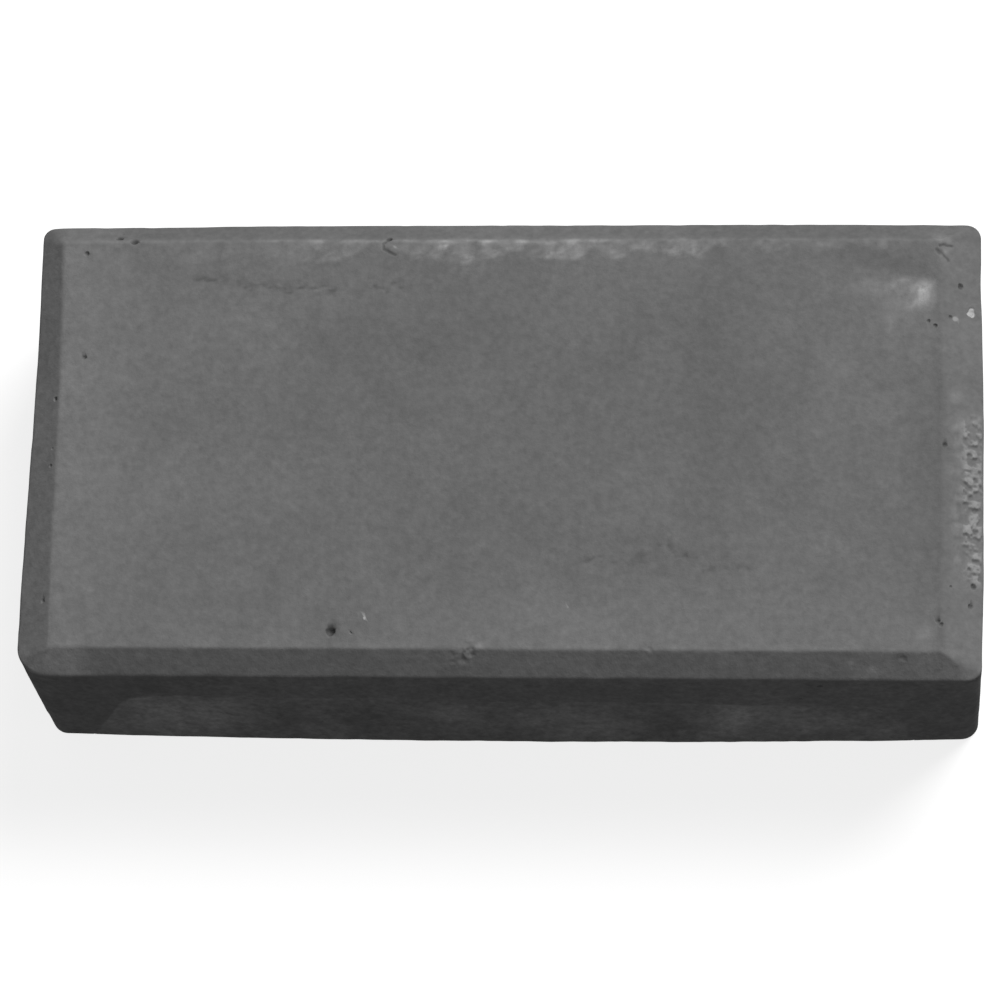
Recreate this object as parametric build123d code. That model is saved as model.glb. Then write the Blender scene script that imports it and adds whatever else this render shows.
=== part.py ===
from build123d import *
import os

# Two-grit sharpening stone, cast face-down in a mould in two pours that bond to each other.
# Millimetres. Origin at the middle of the base, +X along the stone, +Y across it, +Z up to
# the fine-grit face.

# --- driving dimensions -------------------------------------------------------
LENGTH = 100.0
WIDTH = 50.0
HEIGHT = 25.0

# Chamfer around the fine-grit face: one drop all round, its own run on each side
CHAMFER_DROP = 2.0
CHAMFER_RUN_LEFT = 3.0
CHAMFER_RUN_RIGHT = 4.2
CHAMFER_RUN_SIDE = 2.5

# Upright corners of the stone, and the corners of the face inside the chamfer
FRONT_CORNER_RADIUS = 2.2
BACK_CORNER_RADIUS = 1.5
FACE_CORNER_RADIUS = 0.4

# Joint between the two pours: nearly level over the middle, where it falls a little from left
# to right, and sloping steeply down to the base near each end
JOINT_HEIGHT_LEFT = 16.2
JOINT_HEIGHT_RIGHT = 13.6
JOINT_FOOT_LEFT = 4.5
JOINT_FOOT_RIGHT = 6.8
JOINT_SLOPE_RUN_LEFT = 6.0
JOINT_SLOPE_RUN_RIGHT = 3.6
JOINT_SHOULDER_RADIUS = 5.0

# --- worked out from them -----------------------------------------------------
HALF_LENGTH = LENGTH / 2
HALF_WIDTH = WIDTH / 2
WALL_HEIGHT = HEIGHT - CHAMFER_DROP


def rounded_rectangle(left, right, front, back, front_radius, back_radius):
    """A rectangle in plan, with one radius on its front corners and another on its back ones."""
    outline = Polyline((left, front), (right, front), (right, back), (left, back), close=True)
    face = make_face(outline)
    face = fillet(face.vertices().group_by(Axis.Y)[0], front_radius)
    return fillet(face.vertices().group_by(Axis.Y)[-1], back_radius)


def whole_stone():
    """Both pours together: upright walls under a chamfered top."""
    wall_plan = rounded_rectangle(
        -HALF_LENGTH,
        HALF_LENGTH,
        -HALF_WIDTH,
        HALF_WIDTH,
        FRONT_CORNER_RADIUS,
        BACK_CORNER_RADIUS,
    )
    face_plan = rounded_rectangle(
        -HALF_LENGTH + CHAMFER_RUN_LEFT,
        HALF_LENGTH - CHAMFER_RUN_RIGHT,
        -HALF_WIDTH + CHAMFER_RUN_SIDE,
        HALF_WIDTH - CHAMFER_RUN_SIDE,
        FACE_CORNER_RADIUS,
        FACE_CORNER_RADIUS,
    )
    walls = extrude(wall_plan, WALL_HEIGHT)
    chamfered_top = loft(
        [Pos(0, 0, WALL_HEIGHT) * wall_plan, Pos(0, 0, HEIGHT) * face_plan],
        ruled=True,
    )
    return walls + chamfered_top


def space_under_joint():
    """Everything below the joint, running past both long walls."""
    foot_left = -HALF_LENGTH + JOINT_FOOT_LEFT
    foot_right = HALF_LENGTH - JOINT_FOOT_RIGHT
    section = Polyline(
        (foot_left, 0),
        (foot_right, 0),
        (foot_right - JOINT_SLOPE_RUN_RIGHT, JOINT_HEIGHT_RIGHT),
        (foot_left + JOINT_SLOPE_RUN_LEFT, JOINT_HEIGHT_LEFT),
        close=True,
    )
    face = make_face(Plane.XZ * section)
    face = fillet(face.vertices().sort_by(Axis.Z)[-2:], JOINT_SHOULDER_RADIUS)
    return extrude(face, WIDTH, both=True)


stone = whole_stone()
under_joint = space_under_joint()

parts = {
    "fine_grit_layer": stone - under_joint,
    "coarse_grit_layer": stone & under_joint,
}

os.makedirs("parts", exist_ok=True)
for name, layer in parts.items():
    layer.label = name
    export_step(layer, f"parts/{name}.step")
    print(name, "volume", round(layer.volume), "mm3, size", layer.bounding_box().size)
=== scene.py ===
import itertools
import math

import bmesh
import bpy
import numpy as np
from mathutils import Matrix, Vector


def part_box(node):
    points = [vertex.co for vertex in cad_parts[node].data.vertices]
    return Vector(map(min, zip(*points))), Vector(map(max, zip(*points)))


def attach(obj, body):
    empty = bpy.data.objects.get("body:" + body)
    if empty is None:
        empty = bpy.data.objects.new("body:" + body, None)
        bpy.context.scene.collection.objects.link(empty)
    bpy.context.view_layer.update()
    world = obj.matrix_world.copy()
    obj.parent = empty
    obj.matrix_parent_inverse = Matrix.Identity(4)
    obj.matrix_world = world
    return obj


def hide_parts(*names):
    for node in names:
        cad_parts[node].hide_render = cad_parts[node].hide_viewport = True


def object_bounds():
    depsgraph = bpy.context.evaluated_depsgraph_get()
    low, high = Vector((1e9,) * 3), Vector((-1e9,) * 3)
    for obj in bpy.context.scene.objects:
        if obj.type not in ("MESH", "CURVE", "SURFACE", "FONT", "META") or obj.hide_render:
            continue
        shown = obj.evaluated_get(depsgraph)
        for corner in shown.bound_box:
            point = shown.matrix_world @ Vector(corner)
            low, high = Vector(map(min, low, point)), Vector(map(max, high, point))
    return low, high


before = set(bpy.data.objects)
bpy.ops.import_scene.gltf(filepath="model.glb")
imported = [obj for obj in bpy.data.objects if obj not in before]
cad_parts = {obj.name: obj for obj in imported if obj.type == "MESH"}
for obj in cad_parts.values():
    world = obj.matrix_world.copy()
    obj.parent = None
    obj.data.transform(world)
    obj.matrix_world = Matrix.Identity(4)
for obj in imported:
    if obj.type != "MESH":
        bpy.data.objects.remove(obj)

# A two-grit whetstone. Shapes are worked out in millimetres in the row's frame and turned into
# metres when a mesh is made: +X along the stone, +Y across it and away from the camera, +Z up.
MM = 0.001

# --- sizes taken from the frame -----------------------------------------------
cad_low, cad_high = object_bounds()
joint_low, joint_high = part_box("coarse_grit_layer")
HALF_LENGTH = cad_high.x / MM
HALF_WIDTH = cad_high.y / MM
TOP = cad_high.z / MM
FOOT_LEFT = joint_low.x / MM
FOOT_RIGHT = joint_high.x / MM
JOINT_HEIGHT = joint_high.z / MM

# --- the stone's own sizes, as designed ---------------------------------------
CHAMFER_DROP = 2.0
CHAMFER_RUN_LEFT = 3.0
CHAMFER_RUN_RIGHT = 4.2
CHAMFER_RUN_SIDE = 2.5
FRONT_CORNER_RADIUS = 2.2
BACK_CORNER_RADIUS = 1.5
JOINT_HEIGHT_LEFT = 16.2
JOINT_HEIGHT_RIGHT = 13.6
JOINT_SLOPE_RUN_LEFT = 6.0
JOINT_SLOPE_RUN_RIGHT = 3.6
JOINT_SHOULDER_RADIUS = 5.0
WALL_TOP = TOP - CHAMFER_DROP
FACE_LEFT = -HALF_LENGTH + CHAMFER_RUN_LEFT
FACE_RIGHT = HALF_LENGTH - CHAMFER_RUN_RIGHT
FACE_FRONT = -HALF_WIDTH + CHAMFER_RUN_SIDE
FACE_BACK = HALF_WIDTH - CHAMFER_RUN_SIDE

# --- how far casting and handling leave it from those -------------------------
ARRIS_RADIUS = 0.15
FACE_EDGE_RADIUS = 0.07
FOOT_RADIUS = 0.30
MITRE_ROUNDING_LEFT = 0.90
MITRE_ROUNDING_RIGHT = 0.65
FRONT_SWELL = 0.12
FRONT_BELLY = 0.58
BACK_BOW = 0.10
LEFT_END_WAVE = 0.13
RIGHT_END_BOW = 0.16
LEFT_CHAMFER_SKEW = 0.60
FRONT_CHAMFER_EXTRA = 0.07
JOINT_WANDER = 0.35
# How much the mould has drawn the grain of the walls upwards: 1 would be not at all
DRAW_MARKS = 0.70

# --- relief of the small flaws -------------------------------------------------
# An air hole's rim spreads past its radius, and a wider hole is deeper for its radius
HOLE_SPREAD = 1.2
HOLE_DEPTH_SHARE = 0.6
HOLE_DEPTH_GROWTH = 1.8
CRACK_DEPTH = 0.10
CRUMB_HEIGHT = 0.12
SCUFF_HEIGHT = 0.13
LAP_DEPTH, LAP_WIDTH = 0.03, 0.30

# --- spacing of the mesh's lines ------------------------------------------------
# The long side's lines are closer behind y = BACK_BAND, where the bloom and the laps are
ARRIS_SPACING = 0.13
FACE_EDGE_SPACING = 0.15
FOOT_SPACING = 0.15
END_SPACING = 0.17
CHAMFER_SPACING = 0.22
END_CHAMFER_SPACING = 0.25
BACK_BAND, BACK_BAND_SPACING = 18.0, 0.25
OUTSIDE_FEET_SPACING = 0.40
LENGTH_SPACING = 0.47
WIDTH_SPACING = 0.60
HEIGHT_SPACING = 0.75
PROJECTION_STEPS = 4
REFINING_STEPS = 4


# --- noise and falloffs -------------------------------------------------------
def noise(places, cell, seed=0):
    """Smooth noise from -1 to 1 at each place, changing over about one cell."""
    scaled = places / cell + 0.37 * seed
    base = np.floor(scaled)
    part = scaled - base
    part = part * part * (3 - 2 * part)
    x, y, z = (base.astype(np.int64) * (374761393, 668265263, 1103515245)).T
    total = np.zeros(len(places))
    for i, j, k in itertools.product((0, 1), repeat=3):
        mixed = x + y + z + (i * 374761393 + j * 668265263 + k * 1103515245 + seed * 974711)
        mixed = mixed & 0x7FFFFFFF
        mixed = ((mixed ^ (mixed >> 13)) * 1274126177) & 0x7FFFFFFF
        value = ((mixed ^ (mixed >> 16)) & 0xFFFF) / 0x7FFF - 1
        weight = part[:, 0] if i else 1 - part[:, 0]
        weight = weight * (part[:, 1] if j else 1 - part[:, 1])
        weight = weight * (part[:, 2] if k else 1 - part[:, 2])
        total += value * weight
    return total


def rough(places, cell, seed=0, octaves=3):
    """Noise with finer noise on top, each layer half the size and half the strength."""
    return sum(noise(places, cell / 2**k, seed + 7 * k) / 2**k for k in range(octaves))


def ramp(value, start, stop):
    """0 before start, 1 after stop, smooth between."""
    share = np.clip((value - start) / (stop - start), 0, 1)
    return share * share * (3 - 2 * share)


def hill(value, width):
    """1 where value is 0, falling away smoothly over width."""
    return np.exp(-((value / width) ** 2))


def blot(places, x, y, long, across, angle=0):
    """A soft oval patch seen from above, turned by angle degrees."""
    turn = math.radians(angle)
    east, north = places[:, 0] - x, places[:, 1] - y
    along = east * math.cos(turn) + north * math.sin(turn)
    over = north * math.cos(turn) - east * math.sin(turn)
    return np.exp(-((along / long) ** 2) - (over / across) ** 2)


def line_distance(places, points):
    """Distance, seen from above, from each place to a line through the points."""
    plan = places[:, :2]
    best = np.full(len(places), np.inf)
    for start, stop in zip(points, points[1:]):
        start, run = np.array(start), np.subtract(stop, start)
        share = np.clip((plan - start) @ run / (run @ run), 0, 1)
        best = np.minimum(best, np.linalg.norm(plan - start - share[:, None] * run, axis=1))
    return best


# --- the outer form -----------------------------------------------------------
def rounded_max(a, b, radius):
    """The larger of two distances, with the edge where they meet rounded."""
    outside = np.hypot(np.maximum(a + radius, 0), np.maximum(b + radius, 0))
    return np.minimum(np.maximum(a, b), -radius) + outside


def top_height(x, y):
    """Height of the plain face and its chamfers."""
    run_end = CHAMFER_RUN_LEFT if x < 0 else CHAMFER_RUN_RIGHT
    level = max((abs(x) - HALF_LENGTH) / run_end, (abs(y) - HALF_WIDTH) / CHAMFER_RUN_SIDE)
    return min(WALL_TOP - level * CHAMFER_DROP, TOP)


class Sway:
    """How unevenly the mould and the wear have left the form, at each place."""

    def __init__(self, places):
        self.front = 0.03 * rough(places, cell=9, seed=3)
        self.back = 0.04 * rough(places * (1, 0, 0), cell=13, seed=5)
        self.end = 0.03 * rough(places, cell=11, seed=8)
        self.chamfer = 0.025 * rough(places, cell=3, seed=11)
        self.wear = 1 + 0.9 * np.clip(noise(places, cell=1.7, seed=12), 0, 1)


def corner_radii(places):
    """Radius of the upright corners, which changes from the foot of the stone to its arris."""
    x, y, z = places.T
    low = 1 - np.clip(z / WALL_TOP, 0, 1)
    front_left = FRONT_CORNER_RADIUS + 1.0 - 1.5 * low
    front_right = FRONT_CORNER_RADIUS - 0.6 + 0.2 * low
    back_left = BACK_CORNER_RADIUS - 0.4
    front = np.where(x < 0, front_left, front_right)
    return np.where(y < 0, front, np.where(x < 0, back_left, BACK_CORNER_RADIUS))


def wall_offsets(places, sway):
    """How far the end and long walls stand out from their places as designed."""
    x, y, z = places.T
    low = 1 - np.clip(z / WALL_TOP, 0, 1)
    front = FRONT_SWELL * (1 - low) + FRONT_BELLY * low * (1 - (x / HALF_LENGTH) ** 2) + sway.front
    back = BACK_BOW * (1 - ((x - 14) / 40) ** 2) + sway.back
    left = -LEFT_END_WAVE * np.sin((y + 4) * math.pi / HALF_WIDTH) + sway.end
    right = RIGHT_END_BOW * np.maximum(1 - ((y + 2) / 17) ** 2, -0.4) + sway.end
    return np.where(x < 0, left, right), np.where(y < 0, front, back)


def surface_distance(places, sway):
    """How far each place is outside the stone's form, less than zero inside it."""
    x, y, z = places.T
    left = x < 0
    end_offset, side_offset = wall_offsets(places, sway)
    end = np.abs(x) - HALF_LENGTH - end_offset
    side = np.abs(y) - HALF_WIDTH - side_offset
    wall = rounded_max(end, side, corner_radii(places))
    run_left = CHAMFER_RUN_LEFT + 0.1 - LEFT_CHAMFER_SKEW * y / HALF_WIDTH
    run_end = np.where(left, run_left, CHAMFER_RUN_RIGHT)
    mitre = np.where(left, MITRE_ROUNDING_LEFT, MITRE_ROUNDING_RIGHT)
    run_side = CHAMFER_RUN_SIDE + np.where(y < 0, FRONT_CHAMFER_EXTRA, 0)
    level = rounded_max(end / run_end, side / run_side, mitre)
    slope = math.hypot(1, CHAMFER_DROP / CHAMFER_RUN_SIDE)
    chamfer = (level * CHAMFER_DROP + z - WALL_TOP) / slope + sway.chamfer
    form = rounded_max(wall, chamfer, ARRIS_RADIUS * sway.wear)
    form = rounded_max(form, z - TOP, FACE_EDGE_RADIUS * sway.wear)
    return rounded_max(form, -z, FOOT_RADIUS)


def outward(places, sway):
    """Unit vectors straight out of the form."""
    step = 0.02
    slope = np.empty_like(places)
    for axis in range(3):
        shift = np.zeros(3)
        shift[axis] = step
        beyond = surface_distance(places + shift, sway)
        slope[:, axis] = beyond - surface_distance(places - shift, sway)
    return slope / np.linalg.norm(slope, axis=1, keepdims=True)


# --- the joint between the two grits ------------------------------------------
def rounded_corner(before, corner, after):
    """Points of the arc that rounds one corner of a line through three points."""
    before, corner, after = np.array(before), np.array(corner), np.array(after)
    back = (before - corner) / np.linalg.norm(before - corner)
    ahead = (after - corner) / np.linalg.norm(after - corner)
    half = math.acos(back @ ahead) / 2
    inward = (back + ahead) / (2 * math.cos(half))
    centre = corner + inward * JOINT_SHOULDER_RADIUS / math.sin(half)
    tangent = JOINT_SHOULDER_RADIUS / math.tan(half)
    start, stop = corner + back * tangent - centre, corner + ahead * tangent - centre
    swept = math.pi - 2 * half
    shares = np.linspace(0, 1, 12)[:, None]
    arc = np.sin((1 - shares) * swept) * start + np.sin(shares * swept) * stop
    return centre + arc / math.sin(swept)


def joint_profile():
    """Points of the joint seen from the front, with its two shoulders rounded."""
    foot_left, foot_right = (FOOT_LEFT, 0.0), (FOOT_RIGHT, 0.0)
    left = (FOOT_LEFT + JOINT_SLOPE_RUN_LEFT, JOINT_HEIGHT_LEFT)
    right = (FOOT_RIGHT - JOINT_SLOPE_RUN_RIGHT, JOINT_HEIGHT_RIGHT)
    shoulders = [rounded_corner(foot_left, left, right), rounded_corner(left, right, foot_right)]
    return np.vstack([foot_left, *shoulders, foot_right]).T


JOINT_X, JOINT_Z = joint_profile()
# Beyond its feet the joint counts as this far below the base
NO_JOINT = -9.0


def above_joint(places):
    """Height of each place above the joint."""
    x, _, z = places.T
    return z - np.interp(x, JOINT_X, JOINT_Z, left=NO_JOINT, right=NO_JOINT)


def joint_level(x, back):
    """Height of the joint at x on the front wall, or on the back wall where back is 1."""
    level = float(np.interp(x, JOINT_X, JOINT_Z))
    spot = np.array([[x, 90.0 * back, 0.0]])
    wander = float(rough(spot, cell=9, seed=21)[0]) * JOINT_WANDER
    return max(level + wander * level / JOINT_HEIGHT, 0.0)


# --- places of the details ----------------------------------------------------
# Air holes in the face and its chamfers: x, y, radius
FACE_HOLES = [
    (-44.85, 21.1, 0.25),
    (-41.5, 23.1, 0.37),
    (-41.3, 23.8, 0.16),
    (-39.8, 22.6, 0.40),
    (-44.5, 9.4, 0.26),
    (-47.4, 4.8, 0.23),
    (-47.4, -0.7, 0.14),
    (-47.5, -2.6, 0.16),
    (-47.5, -17.4, 0.25),
    (-17.1, -20.7, 0.47),
    (-14.9, -20.8, 0.21),
    (46.1, -0.2, 0.28),
    (45.35, -19.25, 0.26),
    (45.75, -19.65, 0.22),
    (47.8, 17.6, 0.29),
    (44.4, 13.4, 0.20),
    (45.1, 12.9, 0.21),
    (46.7, 14.0, 0.20),
    (49.0, -15.2, 0.28),
    (48.7, -17.3, 0.27),
    (46.7, -15.5, 0.16),
    (-12.55, 22.75, 0.31),
]
# Air holes in the front wall: x, z, radius
FRONT_HOLES = [
    (33.3, 21.0, 0.30),
    (-16.4, 12.9, 0.26),
    (-35.6, 16.0, 0.20),
]
# Hairline cracks in the face: points, width
FACE_CRACKS = [
    ([(-12.7, 22.6), (-13.1, 22.2), (-13.0, 21.7), (-12.4, 21.3), (-11.8, 21.0)], 0.19),
    ([(45.2, 21.4), (45.9, 20.8), (46.5, 20.3)], 0.20),
    ([(45.5, 21.8), (46.1, 22.1), (46.8, 21.9)], 0.16),
]
# Broken places along the front chamfer: x, y, radius, depth
FACE_CHIPS = [
    (16.0, -22.5, 0.32, 0.08),
    (41.9, -23.1, 0.35, 0.07),
]
# A dent in the front edge of the face: x, y, radius, depth
DENT = (-2.4, -22.5, 0.55, 0.17)
# Where the front chamfer has crumbled beside the dent: x, y, reach along it and across it
CRUMBLED = (-3.6, -23.3, 1.3, 0.8)
# Pale grains in the surface: x, y, radius, strength
PALE_GRAINS = [
    (-13.6, -19.25, 0.17, 1.0),
    (7.4, -18.0, 0.12, 0.4),
    (47.2, 13.9, 0.30, 0.5),
]
# The flaw on the end chamfer with a pale, freshly broken floor: place, radii, depth
BROKEN_GRAIN = (48.95, 14.9)
BROKEN_GRAIN_RADII = (0.42, 0.62)
BROKEN_GRAIN_DEPTH = 0.16
# Cold laps in the cast face: one broken line near its back edge, one towards its front
LAPS = [
    [(-33.3, 18.2), (-32.2, 18.2)],
    [(-31.7, 18.0), (-30.8, 18.0)],
    [(-30.1, 17.9), (-28.5, 17.8), (-27.1, 17.3)],
    [(-26.2, 18.0), (-25.0, 17.3), (-23.2, 16.8), (-21.5, 17.3), (-19.9, 17.1), (-18.3, 16.8)],
    [(-14.6, 17.5), (-13.3, 17.2), (-12.7, 16.8)],
    [(-12.1, 17.5), (-11.2, 17.2)],
    [(9.1, -12.8), (9.9, -12.7)],
    [(10.6, -12.6), (12.9, -13.0)],
    [(14.6, -12.2), (15.2, -12.3)],
    [(16.7, -11.2), (17.3, -10.8), (17.9, -11.5)],
    [(18.3, -12.2), (19.5, -12.2)],
    [(20.1, -12.3), (21.6, -12.5)],
    [(21.4, -13.8), (22.2, -13.9)],
    [(23.0, -13.8), (25.9, -13.9)],
]
# Lower rim of the pale bloom along the back edge of the face: x, how far it reaches, strength
BLOOM_RIM = [
    (-42.0, 0.0, 0.0),
    (-35.0, 3.0, 0.28),
    (-28.0, 1.4, 0.22),
    (-22.5, 2.4, 0.42),
    (-18.0, 2.4, 0.52),
    (-14.2, 0.7, 0.10),
    (-10.1, 2.0, 0.55),
    (-5.0, 2.8, 0.60),
    (-2.7, 2.6, 0.85),
    (0.8, 1.2, 0.60),
    (4.4, 2.3, 0.90),
    (7.2, 2.4, 0.90),
    (8.6, 1.2, 0.42),
    (12.0, 2.4, 0.75),
    (14.5, 1.1, 0.55),
    (18.6, 2.1, 0.90),
    (20.4, 2.1, 0.90),
    (22.4, 0.6, 0.30),
    (28.0, 1.6, 0.55),
    (31.0, 0.7, 0.25),
    (33.4, 1.5, 0.40),
    (36.0, 0.6, 0.12),
    (40.4, 1.7, 0.50),
    (44.0, 0.0, 0.0),
]
# Soft pale spots on the face and its chamfers: x, y, half length, half width, angle, strength
FACE_PALE_SPOTS = [
    (44.0, 16.9, 0.7, 0.9, -20, 0.52),
    (43.4, 15.6, 1.0, 0.8, 30, 0.42),
    (43.0, 17.0, 1.2, 0.6, 15, 0.25),
    (41.4, 17.8, 1.5, 0.35, 20, 0.25),
    (40.4, 13.3, 0.5, 0.7, 0, 0.25),
    (38.5, 17.2, 2.0, 0.9, 0, 0.12),
    (42.5, 15.8, 2.6, 2.0, 0, 0.12),
    (45.9, 23.0, 0.9, 0.6, -25, 0.30),
    (46.2, 21.3, 0.4, 0.35, 0, 0.14),
    (44.1, -20.6, 0.8, 0.7, 0, 0.20),
    (47.2, 5.4, 0.9, 0.8, 0, 0.15),
    (-6.7, 21.9, 0.4, 0.3, 0, 0.50),
    (36.4, -23.5, 0.4, 0.3, 0, 0.20),
    (38.8, -24.2, 1.0, 0.4, 0, 0.16),
    (30.0, -24.6, 1.4, 0.3, 0, 0.12),
    (-11.95, 21.85, 0.32, 0.12, -30, 0.30),
    (-1.6, -22.2, 0.5, 0.25, -10, 0.26),
    (-2.5, -21.6, 0.30, 0.15, 0, 0.18),
    (-3.4, -23.2, 1.2, 0.6, 0, 0.12),
]
# Soft dark spots there, given in the same way
FACE_DARK_SPOTS = [
    (8.0, 4.0, 24.0, 12.0, 0, 0.06),
    (24.0, 2.0, 8.0, 10.0, 0, 0.05),
    (41.5, 19.8, 5.0, 1.0, -14, 0.17),
    (41.9, -23.15, 0.7, 0.25, 0, 0.30),
    (-48.4, 23.9, 1.8, 0.9, 0, 0.13),
    (47.6, -23.3, 0.9, 0.6, -30, 0.15),
    (44.4, -8.0, 2.2, 20.0, 0, 0.05),
    (45.7, -21.0, 0.5, 1.2, 0, 0.12),
]
# Dirt smeared along the two lines of laps, given in the same way
LAP_SMEARS = [
    (18.5, -12.9, 9.0, 1.5, -3, 0.13),
    (-25.0, 17.6, 9.0, 1.2, -5, 0.13),
]
# Pale and dark patches on the front wall: x, z, half length, half height, strength
WALL_PALE_PATCHES = [
    (-38.0, 9.5, 5.5, 9.5, 0.46),
    (-31.0, 8.5, 3.5, 7.0, 0.24),
    (-20.0, 2.0, 3.0, 2.0, 0.12),
    (-5.0, 10.5, 3.5, 4.0, 0.30),
    (5.0, 9.5, 3.0, 4.5, 0.20),
    (10.0, 6.0, 4.0, 6.0, 0.22),
    (23.5, 8.5, 2.6, 6.5, 0.44),
    (29.5, 9.0, 3.5, 5.0, 0.20),
    (35.0, 7.0, 3.0, 3.0, 0.08),
]
WALL_DARK_PATCHES = [
    (-24.0, 8.0, 2.4, 5.0, 0.12),
    (-16.0, 7.0, 3.0, 8.0, 0.16),
    (0.5, 4.0, 2.0, 3.0, 0.20),
    (16.3, 6.0, 2.0, 6.0, 0.26),
    (43.5, 5.0, 2.5, 7.0, 0.14),
    (48.0, 8.0, 4.0, 12.0, 0.08),
    (0.0, 0.5, 60.0, 1.2, 0.10),
]
# The scuffed stretch of the right end chamfer: its ends along y, its middle along x
SCUFF_FRONT, SCUFF_BACK = -15.5, 3.4
SCUFF_MIDDLE = 48.8
# Air holes scattered over each side: how many, least radius, largest radius
BACK_HOLES = (26, 0.12, 0.42)
MORE_FRONT_HOLES = (12, 0.10, 0.24)
END_HOLES = (11, 0.12, 0.40)
BASE_HOLES = (46, 0.15, 0.60)


def scattered_holes():
    """More air holes on the walls and the base, in the same places every time: (place, radius)."""
    draw = np.random.RandomState(11)
    holes = []
    lowest, highest = 1.5, WALL_TOP - 1
    for y, reach, (count, least, largest) in (
        (HALF_WIDTH, 48, BACK_HOLES),
        (-HALF_WIDTH, 47, MORE_FRONT_HOLES),
    ):
        for _ in range(count):
            x = draw.uniform(-reach, reach)
            z = draw.uniform(lowest, highest)
            holes.append(((x, y, z), draw.uniform(least, largest)))
    count, least, largest = END_HOLES
    for x in (-HALF_LENGTH, HALF_LENGTH):
        for _ in range(count):
            y = draw.uniform(-22, 22)
            z = draw.uniform(lowest, highest)
            holes.append(((x, y, z), draw.uniform(least, largest)))
    count, least, largest = BASE_HOLES
    for _ in range(count):
        x = draw.uniform(-48, 48)
        y = draw.uniform(-23, 23)
        holes.append(((x, y, 0.0), draw.uniform(least, largest)))
    return holes


def on_top(x, y):
    """The place on the plain face or its chamfers above x, y."""
    return (x, y, top_height(x, y))


HOLES = [(on_top(x, y), radius) for x, y, radius in FACE_HOLES]
HOLES += [((x, -HALF_WIDTH, z), radius) for x, z, radius in FRONT_HOLES]
HOLES += scattered_holes()


def fine_spots():
    """Where the mesh has to be finer: (place, reach, longest edge)."""
    spots = [(place, radius + 0.25, max(radius / 3.0, 0.07)) for place, radius in HOLES]
    for points, _ in FACE_CRACKS:
        spots += [(on_top(x, y), 0.75, 0.07) for x, y in points]
    for x, y, radius, _ in FACE_CHIPS:
        spots.append((on_top(x, y), radius + 0.4, 0.12))
    for x, y, radius, _ in PALE_GRAINS:
        spots.append((on_top(x, y), radius + 0.2, 0.08))
    spots.append((on_top(*DENT[:2]), 1.2, 0.10))
    spots.append((on_top(*CRUMBLED[:2]), CRUMBLED[2], 0.14))
    for points in LAPS:
        spots += [(on_top(x, y), 1.2, 0.2) for x, y in points]
    spots.append((on_top(*BROKEN_GRAIN), 1.2, 0.1))
    for y in np.arange(SCUFF_FRONT, SCUFF_BACK, 1.0):
        spots.append((on_top(SCUFF_MIDDLE, y), 1.2, 0.11))
    return spots


# --- relief: how far the skin stands out from the form -------------------------
def hole_relief(places):
    """Bowls for the air holes, with slightly ragged rims."""
    depth = np.zeros(len(places))
    for place, radius in HOLES:
        near = np.flatnonzero(np.abs(places - place).max(axis=1) < 1.5 * radius)
        away = np.linalg.norm(places[near] - place, axis=1) / (HOLE_SPREAD * radius)
        away = away * (1 + 0.22 * noise(places[near], cell=radius * 1.2, seed=31))
        deepest = radius * (HOLE_DEPTH_SHARE + HOLE_DEPTH_GROWTH * radius)
        bowl = np.clip(1 - away**2, 0, 1) * deepest
        depth[near] = np.maximum(depth[near], bowl)
    return -depth


def crack_relief(places):
    """Ragged grooves for the hairline cracks."""
    depth = np.zeros(len(places))
    ragged = places + 0.12 * noise(places, cell=0.5, seed=33)[:, None]
    for points, width in FACE_CRACKS:
        depth = np.maximum(depth, CRACK_DEPTH * hill(line_distance(ragged, points), width))
    return -depth * over_face(places)


def broken_grain(places):
    """1 inside the flaw on the end chamfer, 0 outside it."""
    east, north = ((places[:, :2] - BROKEN_GRAIN) / BROKEN_GRAIN_RADII).T
    away = np.hypot(east, north)
    away = away + 0.35 * noise(places, cell=0.45, seed=36)
    return ramp(away, 1.1, 0.9) * over_face(places)


def chip_relief(places):
    """The broken grain, the chips and the crumbled stretch of the front chamfer."""
    depth = BROKEN_GRAIN_DEPTH * broken_grain(places) * (1 + 0.5 * noise(places, cell=0.3, seed=38))
    for x, y, radius, deep in FACE_CHIPS:
        away = np.linalg.norm(places - on_top(x, y), axis=1) / radius
        away = away * (1 + 0.5 * noise(places, cell=radius, seed=35))
        depth = np.maximum(depth, deep * ramp(away, 1.2, 0.3))
    crumbs = CRUMB_HEIGHT * blot(places, *CRUMBLED) * rough(places, cell=0.6, seed=34, octaves=2)
    return crumbs * over_face(places) - depth


def dent_relief(places):
    """The soft dent in the front edge of the face."""
    x, y, radius, depth = DENT
    away = np.hypot((places[:, 0] - x) / radius, (places[:, 1] - y) / radius)
    away = away + 0.45 * noise(places, cell=0.45, seed=39)
    return -depth * ramp(away, 1.3, 0.1) * over_face(places)


def lap_distance(places):
    """Distance, seen from above, from the nearest of the ragged cold laps."""
    ragged = places + (0.32 * rough(places, cell=0.7, seed=37))[:, None] * (0, 1, 0)
    return np.min([line_distance(ragged, points) for points in LAPS], axis=0)


def scuff(places):
    """1 over the scuffed stretch of the right end chamfer, 0 elsewhere."""
    x, y, _ = places.T
    from_front = ramp(y, SCUFF_FRONT - 0.4, SCUFF_FRONT + 1.2)
    from_back = ramp(y, SCUFF_BACK + 0.6, SCUFF_BACK - 1.6)
    across = 0.40 * ramp(x, 46.5, 47.2) + 0.60 * ramp(x, 47.7, 48.3)
    return from_front * from_back * across * ramp(x, 50.1, 49.7) * over_face(places)


def scuff_ridges(places):
    """Short ragged lumps, 0 to 1, that lie mostly across the chamfer."""
    stretched = places * (0.45, 1.0, 1.0)
    field = noise(stretched, cell=0.46, seed=41) + 0.40 * noise(places, cell=0.28, seed=42)
    return ramp(field, -0.30, 0.50)


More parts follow.
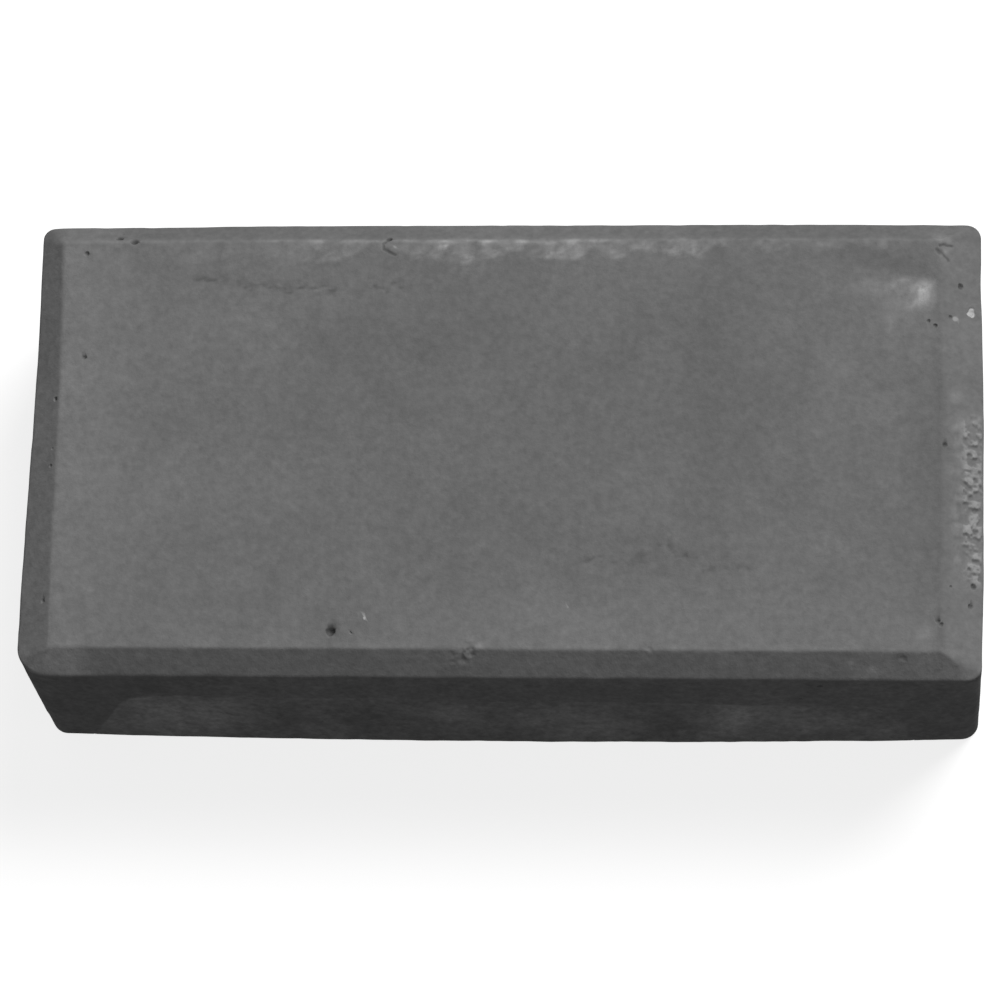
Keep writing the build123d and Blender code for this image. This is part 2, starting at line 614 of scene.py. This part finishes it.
def over_face(places):
    """1 on the face and its chamfers, 0 on the walls."""
    return ramp(places[:, 2], WALL_TOP - 0.35, WALL_TOP + 0.05)


def relief(places):
    """Height of the skin's detail above the form, in millimetres."""
    on_face = over_face(places)
    below_joint = ramp(-above_joint(places), 0, 1.5) * ramp(places[:, 2], 0, 0.6)
    broad = rough(places, cell=8, seed=51) * (0.05 - 0.03 * on_face)
    small = rough(places, cell=1.6, seed=52, octaves=2) * (0.022 - 0.014 * on_face)
    coarse = rough(places, cell=1.1, seed=53, octaves=2) * 0.035 * below_joint
    ridges = SCUFF_HEIGHT * scuff_ridges(places) + 0.03 * noise(places, cell=0.4, seed=43)
    laps = LAP_DEPTH * hill(lap_distance(places), LAP_WIDTH) * on_face
    height = broad + small + coarse + scuff(places) * ridges - laps + dent_relief(places)
    return height + chip_relief(places) + crack_relief(places) + hole_relief(places)


# --- stains and wear, and painted light and shade, kept on the mesh for the materials ---
def bloom(places):
    """Pale salt bloom along the back edge of the face, hanging in ragged lobes."""
    x, y, _ = places.T
    along = x + 0.35 * rough(places, cell=1.2, seed=60)
    rim_x, rim_reach, rim_strength = np.array(BLOOM_RIM).T
    rim = FACE_BACK - np.interp(along, rim_x, rim_reach) + 0.34 * rough(places, cell=0.8, seed=61)
    strength = np.interp(along, rim_x, rim_strength)
    rim_side = 0.7 + 0.4 * hill(y - rim - 0.5, 0.6)
    within = ramp(y, rim - 0.25, rim + 0.6) * ramp(y, FACE_BACK + 0.9, FACE_BACK - 0.1)
    flecked = 0.9 + 0.5 * noise(places * (0.6, 1.0, 1.0), cell=0.45, seed=59)
    return strength * within * rim_side * flecked


def wall_patches(places, patches):
    """The sum of the soft patches on the front wall, with their outlines made uneven."""
    x, _, z = places.T
    x = x + 1.3 * rough(places, cell=3.5, seed=71)
    z = z + 1.3 * rough(places, cell=3.0, seed=72)
    total = np.zeros(len(places))
    for spot_x, spot_z, long, tall, strength in patches:
        total += strength * np.exp(-(((x - spot_x) / long) ** 2) - ((z - spot_z) / tall) ** 2)
    return total * near_front(places)


def near_front(places):
    """1 on the front wall, falling to 0 a little way round its corners."""
    return ramp(places[:, 1], -HALF_WIDTH + 2.5, -HALF_WIDTH + 0.5)


def face_spots(places, spots):
    """The sum of soft oval spots on the face and its chamfers."""
    total = np.zeros(len(places))
    for *oval, strength in spots:
        total += strength * blot(places, *oval)
    return total


def worn_edges(places):
    """Pale wear in dashes along the back edge of the face, and a little along the front one."""
    x, y, _ = places.T
    stretched = places * (0.6, 1.0, 1.0)
    dashed = np.clip(0.45 + 1.1 * rough(stretched, cell=1.0, seed=68, octaves=2), 0, 1.2)
    wander = 0.15 * rough(places, cell=1.3, seed=63)
    strength = 0.04 + 0.45 * ramp(x, -15, -7) * ramp(x, 13, 8) + 0.22 * hill(x + 20, 7)
    back_edge = strength * hill(y - FACE_BACK + 0.08 - wander, 0.24)
    front_edge = 0.06 * hill(y - FACE_FRONT - 0.25 - wander, 0.20)
    return (back_edge + front_edge) * dashed


def pale_grains(places):
    """Grains in the face that are paler than the rest."""
    x, y, _ = places.T
    grains = np.zeros(len(places))
    for grain_x, grain_y, radius, strength in PALE_GRAINS:
        away = np.hypot(x - grain_x, y - grain_y)
        away = away * (1 + 0.3 * noise(places, cell=radius, seed=67))
        grains = np.maximum(grains, strength * ramp(away, 1.4 * radius, 0.5 * radius))
    return grains


def pale_margins(places):
    """The face, paler towards its left end and its front; the front chamfer paler towards its right
    end, and painted light at its left end, carrying the brighter lit left chamfer round the corner.
    """
    x, y, _ = places.T
    left = 0.06 * ramp(x, -36, -46) + 0.03 * ramp(x, -10, -40)
    front = 0.04 * ramp(y, -12, -20) * ramp(x, -25, -5)
    run_end = np.where(x < 0, CHAMFER_RUN_LEFT, CHAMFER_RUN_RIGHT)
    end_level = (np.abs(x) - HALF_LENGTH) / run_end
    side_level = (-y - HALF_WIDTH) / CHAMFER_RUN_SIDE
    past_edge = ramp(y, FACE_FRONT + 0.1, FACE_FRONT - 0.2)
    on_front_chamfer = ramp(side_level - end_level, 0.0, 0.3) * past_edge
    # At the left end, painted light: the lit left chamfer's brightness carried round the corner onto
    # the front chamfer; at the right end, simply paler
    ends = 0.17 * ramp(x, -41.5, -44.0) + 0.11 * ramp(x, 34, 46)
    return left + front + on_front_chamfer * ends


def pale_marks(places):
    """0 to 1: how far bloom, scuffs and wear have lightened the skin, with painted highlight on the
    scuff's lumps and painted light at the left end of the front chamfer.
    """
    patchy = np.clip(0.55 + 0.8 * rough(places, cell=1.1, seed=62), 0, 1.3)
    scuffed = scuff(places)
    on_face = bloom(places) * 0.50 * patchy + worn_edges(places)
    on_face += face_spots(places, FACE_PALE_SPOTS) * (0.5 + patchy)
    on_face += pale_grains(places) + broken_grain(places) + pale_margins(places)
    # Paler wear over the scuff, and a painted highlight on the tops of its lumps
    on_face += 0.07 * np.sqrt(scuffed) + 0.36 * scuffed * scuff_ridges(places)
    under_joint = ramp(-above_joint(places), -0.1, 0.7)
    on_wall = wall_patches(places, WALL_PALE_PATCHES) * under_joint
    return np.clip(on_face * over_face(places) + on_wall * (1 - over_face(places)), 0, 1)


def face_stains_and_shadows(places):
    """Damp and dirt on the face and its chamfers, and painted shadow just in front of the bloom's
    lobes and of the scuff's lumps, on their side away from the light.
    """
    x, y, _ = places.T
    stretched = places * (0.45, 1.0, 1.0)
    dashes = np.clip(0.55 + 1.3 * noise(stretched, cell=0.30, seed=64), 0, 1.3)
    laps = np.where(y > 0, 0.26, 0.20) * hill(lap_distance(places), 0.32) * dashes
    smears = face_spots(places, LAP_SMEARS)
    smears = smears * np.clip(0.3 + 1.2 * noise(stretched, cell=0.5, seed=65), 0, 1)
    spots = 0.02 + face_spots(places, FACE_DARK_SPOTS)
    end_line = 0.07 * hill(x - FACE_RIGHT + 0.2, 0.40) * ramp(y, 20, 15)
    back_chamfer = 0.10 * ramp(y, FACE_BACK, FACE_BACK + 0.5)
    # Painted shadow along the front rim of the bloom's lobes
    lobe_shadows = 0.12 * np.clip(bloom(places + (0.0, 0.4, 0.0)) - bloom(places), 0, 1)
    # Painted shadow on the side of the scuff's lumps away from the light
    in_front = scuff_ridges(places + (0.0, 0.26, 0.0)) - scuff_ridges(places)
    grooves = 0.40 * scuff(places) * np.clip(in_front, 0, 1)
    return laps + smears + spots + end_line + back_chamfer + lobe_shadows + grooves


def wall_darkening(places):
    """Darkening and mottling on the walls, stronger towards the left of the front one."""
    drawn_up = places * (1.0, 1.0, 0.5)
    darkening = 0.13 + 0.10 * ramp(places[:, 0], 45, -50) * near_front(places)
    darkening += wall_patches(places, WALL_DARK_PATCHES)
    small = 0.10 * rough(drawn_up, cell=1.5, seed=69, octaves=2)
    broad = 0.05 * rough(places, cell=6, seed=70, octaves=2)
    return darkening + small + broad


def dark_marks(places):
    """0 to 1: how far damp and dirt have darkened the skin, with painted shade in the air holes and
    cracks, darker where they are deeper, and painted shadows beside the bloom's lobes and the
    scuff's lumps.
    """
    on_face = over_face(places)
    # Painted shade inside the air holes, darker where they are deeper
    inside = 0.45 * ramp(-hole_relief(places), 0.0, 0.40)
    # Painted shade in the hairline cracks, darker where they are deeper
    cracks = 0.36 * ramp(-crack_relief(places), 0.02, 0.10)
    darkening = face_stains_and_shadows(places) * on_face + wall_darkening(places) * (1 - on_face)
    return np.clip(darkening + inside + cracks, 0, 1)


def joint_nearness(places):
    """0 well inside the fine grit, 1 at the joint, where some coarse grit has mixed in."""
    across = above_joint(places) / 0.9 + 0.6 * rough(places, cell=2.2, seed=66)
    return ramp(across, 1.0, -0.4)


# --- mesh ---------------------------------------------------------------------
def lines(*stations):
    """Even lines between stations, given as place, spacing, place, spacing ... place."""
    spots = [np.array([stations[0]])]
    for start, spacing, stop in zip(stations[:-2:2], stations[1:-1:2], stations[2::2]):
        count = max(1, round(abs(stop - start) / spacing))
        spots.append(np.linspace(start, stop, count + 1)[1:])
    return np.concatenate(spots)


def length_lines():
    """Lines across the stone, from its left end to its right end, closer at edges and corners."""
    quarter = np.radians(np.linspace(0, 90, 14))[:-1]
    corner = HALF_LENGTH - FRONT_CORNER_RADIUS * (1 - np.cos(quarter))
    straight = HALF_LENGTH - FRONT_CORNER_RADIUS
    middle = lines(
        -straight, END_SPACING, FACE_LEFT + 0.6, OUTSIDE_FEET_SPACING, FOOT_LEFT,
        LENGTH_SPACING, FOOT_RIGHT, OUTSIDE_FEET_SPACING, FACE_RIGHT - 0.6,
        END_SPACING, FACE_RIGHT + 0.5, END_CHAMFER_SPACING, straight,
    )
    return np.concatenate([-corner, middle, corner[::-1]])


def width_shares():
    """Lines along the stone as shares of its width, closer at the edges."""
    spots = lines(
        -HALF_WIDTH, ARRIS_SPACING, -HALF_WIDTH + 0.7, CHAMFER_SPACING, FACE_FRONT - 0.5,
        FACE_EDGE_SPACING, FACE_FRONT + 0.5, WIDTH_SPACING, BACK_BAND, BACK_BAND_SPACING,
        FACE_BACK - 0.4, FACE_EDGE_SPACING, FACE_BACK + 0.5, CHAMFER_SPACING,
        HALF_WIDTH - 0.7, ARRIS_SPACING, HALF_WIDTH,
    )
    return (spots + HALF_WIDTH) / (2 * HALF_WIDTH)


def height_shares(tall, arris):
    """Lines up a wall as shares of its height, closer at its foot and at an arris."""
    stations = [0, FOOT_SPACING, 0.75, HEIGHT_SPACING, tall]
    if arris:
        stations[-1:] = [tall - 0.8, ARRIS_SPACING, tall]
    return lines(*stations) / tall


def plan_edge(x, back):
    """Where the long wall is at x: front for back 0, and back for back 1."""
    radius = BACK_CORNER_RADIUS if back else FRONT_CORNER_RADIUS
    into = min(max(radius - (HALF_LENGTH - abs(x)), 0.0), radius)
    inset = radius - math.sqrt(radius**2 - into**2)
    return (HALF_WIDTH - inset) if back else (inset - HALF_WIDTH)


class Skin:
    """Faces collected for one mesh. Corners at the same place are one vertex."""

    def __init__(self):
        self.places = []
        self.known = {}
        self.faces = []
        self.hidden = []

    def corner(self, place):
        """The number of the vertex at a place, made if it isn't there yet."""
        key = tuple(round(float(value), 5) for value in place)
        if key not in self.known:
            self.known[key] = len(self.places)
            self.places.append(key)
        return self.known[key]

    def face(self, places, hidden=False):
        """One face, left out if its corners fall together. Hidden ones lie inside the stone."""
        ring = list(dict.fromkeys(self.corner(place) for place in places))
        if len(ring) > 2:
            self.faces.append(ring)
            self.hidden.append(hidden)

    def sheet(self, rows):
        """The faces between rows of places, each row as long as the next."""
        for near, far in zip(rows, rows[1:]):
            for a, b, c, d in zip(near, near[1:], far[1:], far):
                self.face([a, b, c, d])


def across_stone(x, height):
    """A row of places over the stone's width at x, at the height given there."""
    front, back = plan_edge(x, 0), plan_edge(x, 1)
    row = []
    for share in WIDTH_SHARES:
        y = front + (back - front) * share
        row.append((x, y, height(x, y)))
    return row


def joint_on_wall(x, back):
    """Height of the joint where it meets a long wall, 0 outside its feet."""
    return joint_level(x, back) if FOOT_LEFT < x < FOOT_RIGHT else 0.0


def add_joint(skin, columns):
    """The hidden joint face, one straight strip across the stone for each pair of columns."""
    for left, right in zip(columns, columns[1:]):
        near = [(left, plan_edge(left, back), joint_on_wall(left, back)) for back in (0, 1)]
        far = [(right, plan_edge(right, back), joint_on_wall(right, back)) for back in (1, 0)]
        if left == columns[0]:
            near = across_stone(left, lambda x, y: 0.0)
        if right == columns[-1]:
            far = across_stone(right, lambda x, y: 0.0)[::-1]
        skin.face(near + far, hidden=True)


def wall_column(x, y, low, high, shares):
    """Places up a wall at x, y, at the given shares of the way from low to high."""
    return [(x, y, low + (high - low) * share) for share in shares]


def fine_skin():
    """The upper layer: face, chamfers, walls down to the joint, and the base beyond its feet."""
    skin = Skin()
    shares = height_shares(WALL_TOP, arris=True)
    skin.sheet([across_stone(x, top_height) for x in LENGTH_LINES])
    for back in (0, 1):
        wall = []
        for x in LENGTH_LINES:
            y = plan_edge(x, back)
            wall.append(wall_column(x, y, joint_on_wall(x, back), top_height(x, y), shares))
        skin.sheet(wall)
    for x in (LENGTH_LINES[0], LENGTH_LINES[-1]):
        row = across_stone(x, top_height)
        skin.sheet([wall_column(x, y, 0.0, z, shares) for x, y, z in row])
    for beyond in (LENGTH_LINES <= FOOT_LEFT, LENGTH_LINES >= FOOT_RIGHT):
        skin.sheet([across_stone(x, lambda x, y: 0.0) for x in LENGTH_LINES[beyond]])
    add_joint(skin, BETWEEN_FEET)
    return skin


def coarse_skin():
    """The lower layer: walls up to the joint and the base between its feet."""
    skin = Skin()
    shares = height_shares(JOINT_HEIGHT, arris=False)
    for back in (0, 1):
        wall = []
        for x in BETWEEN_FEET:
            y = plan_edge(x, back)
            wall.append(wall_column(x, y, 0.0, joint_on_wall(x, back), shares))
        skin.sheet(wall)
    skin.sheet([across_stone(x, lambda x, y: 0.0) for x in BETWEEN_FEET])
    add_joint(skin, BETWEEN_FEET)
    return skin


LENGTH_LINES = length_lines()
WIDTH_SHARES = width_shares()
BETWEEN_FEET = LENGTH_LINES[(LENGTH_LINES >= FOOT_LEFT) & (LENGTH_LINES <= FOOT_RIGHT)]


def refine(bm):
    """Splits edges near the small details until the mesh can hold them."""
    spots = fine_spots()
    for _ in range(REFINING_STEPS):
        ends = np.array([[edge.verts[0].co, edge.verts[1].co] for edge in bm.edges])
        middle = ends.mean(axis=1)
        length = np.linalg.norm(ends[:, 0] - ends[:, 1], axis=1)
        order = np.argsort(middle[:, 0])
        chosen = set()
        for place, reach, longest in spots:
            first, last = np.searchsorted(middle[order, 0], (place[0] - reach, place[0] + reach))
            near = order[first:last]
            close = np.linalg.norm(middle[near] - place, axis=1) < reach
            chosen.update(near[close & (length[near] > longest) & (length[near] < 2)].tolist())
        bm.edges.ensure_lookup_table()
        edges = [bm.edges[index] for index in sorted(chosen)]
        if not edges:
            break
        bmesh.ops.subdivide_edges(bm, edges=edges, cuts=1, use_grid_fill=True)


def corner_push(places):
    """How far the lattice moves out, along x and y alike, to fill a corner sharper than its own."""
    drawn = np.where(places[:, 1] < 0, FRONT_CORNER_RADIUS, BACK_CORNER_RADIUS)
    spare = np.maximum(drawn - corner_radii(places), 0)
    along = np.clip((np.abs(places[:, 0]) - HALF_LENGTH) / drawn + 1, 0, 1)
    across = np.clip((np.abs(places[:, 1]) - HALF_WIDTH) / drawn + 1, 0, 1)
    return spare * (1 - math.sqrt(0.5)) * 4 * (along * across) ** 2


def make_mesh(name, skin):
    """The skin as a mesh, refined and smooth, with an edge kept round its hidden joint face."""
    mesh = bpy.data.meshes.new(name)
    mesh.from_pydata(skin.places, [], skin.faces)
    # The material index carries which faces are hidden while the mesh is refined
    mesh.polygons.foreach_set("material_index", [int(hidden) for hidden in skin.hidden])
    bm = bmesh.new()
    bm.from_mesh(mesh)
    refine(bm)
    bmesh.ops.recalc_face_normals(bm, faces=bm.faces)
    for edge in bm.edges:
        edge.smooth = len({face.material_index for face in edge.link_faces}) == 1
    for face in bm.faces:
        face.smooth = True
        face.material_index = 0
    bm.to_mesh(mesh)
    bm.free()
    return mesh


def laid_on_form(lattice, sway):
    """The lattice's places, stretched to the bowed walls and then moved onto the form."""
    end_offset, side_offset = wall_offsets(lattice, sway)
    places = lattice.copy()
    places[:, 0] *= 1 + end_offset / HALF_LENGTH
    places[:, 1] *= 1 + side_offset / HALF_WIDTH
    places[:, :2] += np.sign(places[:, :2]) * corner_push(places)[:, None]
    for _ in range(PROJECTION_STEPS):
        places = places - outward(places, sway) * surface_distance(places, sway)[:, None]
    return places


def make_layer(name, skin, material):
    """The finished layer: laid on the form, given its relief, marks and material."""
    mesh = make_mesh(name, skin)
    flat = np.empty(len(mesh.vertices) * 3)
    mesh.vertices.foreach_get("co", flat)
    lattice = flat.reshape(-1, 3)
    sway = Sway(lattice)
    places = laid_on_form(lattice, sway)
    final = places + outward(places, sway) * relief(places)[:, None]
    final[:, 2] = np.maximum(final[:, 2], 0)
    mesh.vertices.foreach_set("co", (final * MM).ravel())
    marks = {"pale": pale_marks, "dark": dark_marks, "joint": joint_nearness}
    for mark, amount in marks.items():
        mesh.attributes.new(mark, "FLOAT", "POINT").data.foreach_set("value", amount(places))
    mesh.materials.append(material)
    mesh.update()
    layer = bpy.data.objects.new(name, mesh)
    bpy.context.scene.collection.objects.link(layer)
    return layer


# --- materials ----------------------------------------------------------------
FINE_GREY = 0.132
COARSE_GREY = 0.188
MIXED_GREY = 0.148
PALE_GREY = 0.40
# Depths in millimetres of the bumps that the grain and the blotches make
FINE_BUMP, SOFT_BUMP = 0.018, 0.07
FLOOR_GREY = 0.32
FLOOR_GLOW = 0.80


class Tree:
    """Short ways to add nodes to a material."""

    def __init__(self, tree):
        self.tree = tree
        self.tree.nodes.clear()

    def add(self, kind, inputs=None, **settings):
        """A node with its settings, and its inputs given as numbers or as other nodes' outputs."""
        made = self.tree.nodes.new(kind)
        for key, value in settings.items():
            setattr(made, key, value)
        for key, value in (inputs or {}).items():
            if isinstance(value, bpy.types.NodeSocket):
                self.tree.links.new(value, made.inputs[key])
            else:
                made.inputs[key].default_value = value
        return made

    def math(self, operation, *values, clamp=False):
        """One sum, with its values in order."""
        inputs = dict(enumerate(values))
        made = self.add("ShaderNodeMath", inputs, operation=operation, use_clamp=clamp)
        return made.outputs[0]

    def mark(self, name):
        """One of the marks kept on the mesh."""
        return self.add("ShaderNodeAttribute", attribute_name=name).outputs["Fac"]

    def noise(self, vector, scale, detail, roughness=0.55):
        """Noise from 0 to 1, mostly near 0.5, with scale as its cells per millimetre."""
        settings = {"Vector": vector, "Scale": scale, "Detail": detail, "Roughness": roughness}
        return self.add("ShaderNodeTexNoise", settings).outputs["Fac"]

    def livelier(self, texture, share):
        """texture, with its swing about 0.5 made larger by share."""
        swing = self.math("MULTIPLY", self.math("ADD", texture, -0.5), self.math("ADD", share, 1.0))
        return self.math("ADD", swing, 0.5)

    def vary(self, value, texture, amount):
        """value, made larger or smaller by the share amount as texture goes above or below 0.5."""
        swing = self.math("MULTIPLY_ADD", texture, 2 * amount, 1 - amount)
        return self.math("MULTIPLY", value, swing)

    def blend(self, share, a, b):
        """a where share is 0, b where it is 1."""
        made = self.add("ShaderNodeMix", {0: share, 2: a, 3: b}, data_type="FLOAT")
        return made.outputs[0]


def stone_material(name, base, grain, speckle, grit_size, grit_strength, mottle, cloudy):
    """Bonded abrasive of one grey. The last six values say how fine or strong its texture is."""
    material = bpy.data.materials.new(name)
    material.use_nodes = True
    t = Tree(material.node_tree)
    place = t.add("ShaderNodeTexCoord").outputs["Object"]
    height = t.add("ShaderNodeSeparateXYZ", {0: place}).outputs["Z"]
    # 1 on the walls, 0 on the face
    wall = t.math("MULTIPLY_ADD", height, -2.0 / MM, 2 * WALL_TOP, clamp=True)
    drawn_up = {0: place, 1: (1 / MM, 1 / MM, DRAW_MARKS / MM)}
    mm = t.add("ShaderNodeVectorMath", drawn_up, operation="MULTIPLY").outputs[0]
    powder = t.livelier(t.noise(mm, scale=grain, detail=1.5, roughness=0.6), wall)
    blotch = t.livelier(t.noise(mm, scale=0.9, detail=3, roughness=0.65), wall)
    cloud = t.noise(mm, scale=0.2, detail=4, roughness=0.6)
    drift = t.noise(mm, scale=0.06, detail=2)
    grit = t.add("ShaderNodeTexVoronoi", {"Vector": mm, "Scale": 1 / grit_size})
    cell = t.add("ShaderNodeSeparateColor", {0: grit.outputs["Color"]}).outputs[0]
    broken_up = t.noise(mm, scale=1.7, detail=4, roughness=0.7)
    broken_up = t.math("MULTIPLY_ADD", broken_up, 2.4, -0.2, clamp=True)
    pale = t.math("MULTIPLY", t.mark("pale"), broken_up)

    grey = t.blend(t.mark("joint"), base, MIXED_GREY)
    grey = t.vary(grey, drift, cloudy)
    grey = t.vary(grey, cloud, cloudy)
    grey = t.vary(grey, blotch, mottle)
    grey = t.blend(pale, grey, PALE_GREY)
    grey = t.vary(grey, powder, speckle)
    grey = t.vary(grey, cell, grit_strength)
    grey = t.math("MULTIPLY", grey, t.math("MULTIPLY_ADD", t.mark("dark"), -1.0, 1.0))

    roughness = t.math("MULTIPLY_ADD", blotch, 0.2, 0.72)
    fine_height = t.math("MULTIPLY_ADD", cell, 0.25, powder)
    fine = t.add("ShaderNodeBump", {
        "Strength": 1.0,
        "Distance": FINE_BUMP * MM,
        "Height": fine_height,
    })
    soft = t.add("ShaderNodeBump", {
        "Strength": 1.0,
        "Distance": SOFT_BUMP * MM,
        "Height": blotch,
        "Normal": fine.outputs[0],
    })
    shader = t.add("ShaderNodeBsdfPrincipled", {
        "Base Color": grey,
        "Roughness": roughness,
        "Specular IOR Level": 0.35,
        "Normal": soft.outputs[0],
    })
    t.add("ShaderNodeOutputMaterial", {"Surface": shader.outputs[0]})
    return material


def floor_material():
    """A matte pale floor with a glow of its own, so that shadows on it stay faint."""
    material = bpy.data.materials.new("studio_floor")
    material.use_nodes = True
    shader = material.node_tree.nodes["Principled BSDF"]
    shader.inputs["Base Color"].default_value = (FLOOR_GREY, FLOOR_GREY, FLOOR_GREY, 1)
    shader.inputs["Roughness"].default_value = 1.0
    shader.inputs["Specular IOR Level"].default_value = 0.0
    shader.inputs["Emission Color"].default_value = (1, 1, 1, 1)
    shader.inputs["Emission Strength"].default_value = FLOOR_GLOW
    return material


# --- studio -------------------------------------------------------------------
LIGHT_FROM = Vector((0.40, 0.52, 0.80)).normalized()
LIGHT_DISTANCE = 1.0
LIGHT_SIZE = 0.5
LIGHT_WATTS = 11.0
AMBIENT = 0.22
BACKDROP = 0.93
FLOOR_REACH = 3.0

# The photo's view: degrees, then millimetres, and the lens for Blender's usual 36 mm sensor
CAMERA_AZIMUTH = 14.94
CAMERA_ELEVATION = 71.17
CAMERA_ROLL = -14.02
CAMERA_DISTANCE = 493.1
CAMERA_LEFT, CAMERA_DOWN = 0.26, 5.44
LENS = 169.5


def aim(obj, back, up):
    """Turns a lamp or camera so that it looks along -back."""
    right = up.cross(back).normalized()
    turn = Matrix((right, back.cross(right), back)).transposed()
    obj.matrix_world = Matrix.Translation(obj.location) @ turn.to_4x4()


def add_light():
    """One soft square light, above the stone, behind it and to its right."""
    lamp = bpy.data.lights.new("softbox", "AREA")
    lamp.shape = "SQUARE"
    lamp.size = LIGHT_SIZE
    lamp.energy = LIGHT_WATTS
    softbox = bpy.data.objects.new("softbox", lamp)
    bpy.context.scene.collection.objects.link(softbox)
    softbox.location = LIGHT_FROM * LIGHT_DISTANCE
    aim(softbox, LIGHT_FROM, Vector((0, 0, 1)))


def add_world():
    """Dim even light all round, behind a backdrop that looks pale to the camera."""
    world = bpy.data.worlds.new("studio")
    bpy.context.scene.world = world
    world.use_nodes = True
    t = Tree(world.node_tree)
    seen = t.add("ShaderNodeLightPath").outputs["Is Camera Ray"]
    strength = t.blend(seen, AMBIENT, BACKDROP)
    light = t.add("ShaderNodeBackground", {"Color": (1, 1, 1, 1), "Strength": strength})
    t.add("ShaderNodeOutputWorld", {"Surface": light.outputs[0]})


def add_floor():
    """A wide floor under the stone, which throws no light back onto it."""
    mesh = bpy.data.meshes.new("floor")
    signs = ((-1, -1), (1, -1), (1, 1), (-1, 1))
    corners = [(x * FLOOR_REACH, y * FLOOR_REACH, 0) for x, y in signs]
    mesh.from_pydata(corners, [], [(0, 1, 2, 3)])
    mesh.materials.append(floor_material())
    floor = bpy.data.objects.new("floor", mesh)
    bpy.context.scene.collection.objects.link(floor)
    floor.location.z = cad_low.z
    floor.visible_diffuse = False
    floor.visible_glossy = False


def add_camera():
    """The camera, placed where the photo was taken from."""
    data = bpy.data.cameras.new("camera")
    data.lens = LENS
    data.clip_start, data.clip_end = 0.01, 20
    camera = bpy.data.objects.new("camera", data)
    bpy.context.scene.collection.objects.link(camera)
    azimuth, elevation = math.radians(CAMERA_AZIMUTH), math.radians(CAMERA_ELEVATION)
    level = math.cos(elevation)
    back = Vector((math.sin(azimuth) * level, -math.cos(azimuth) * level, math.sin(elevation)))
    upright = Vector((0, 0, 1)) - back * back.z
    up = Matrix.Rotation(math.radians(CAMERA_ROLL), 3, back) @ upright.normalized()
    right = up.cross(back)
    centre = Vector((0, 0, WALL_TOP))
    place = centre + back * CAMERA_DISTANCE - right * CAMERA_LEFT - up * CAMERA_DOWN
    camera.location = place * MM
    aim(camera, back, up)
    bpy.context.scene.camera = camera


# --- the scene ----------------------------------------------------------------
fine_stone = stone_material(
    "fine_grit_stone", FINE_GREY, grain=1.35, speckle=0.21,
    grit_size=0.14, grit_strength=0.02, mottle=0.21, cloudy=0.19,
)
coarse_stone = stone_material(
    "coarse_grit_stone", COARSE_GREY, grain=1.2, speckle=0.24,
    grit_size=0.34, grit_strength=0.07, mottle=0.22, cloudy=0.26,
)
layers = (
    ("fine_grit_stone_layer", "fine_grit_layer", "fine_grit_stone", fine_skin, fine_stone),
    ("coarse_grit_stone_layer", "coarse_grit_layer", "coarse_grit_stone", coarse_skin, coarse_stone),
)
for name, node, slot, skin, material in layers:
    layer = make_layer(name, skin(), material)
    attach(layer, "root")
    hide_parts(node)

add_floor()
add_light()
add_world()
add_camera()
bpy.context.scene.view_settings.view_transform = "Standard"
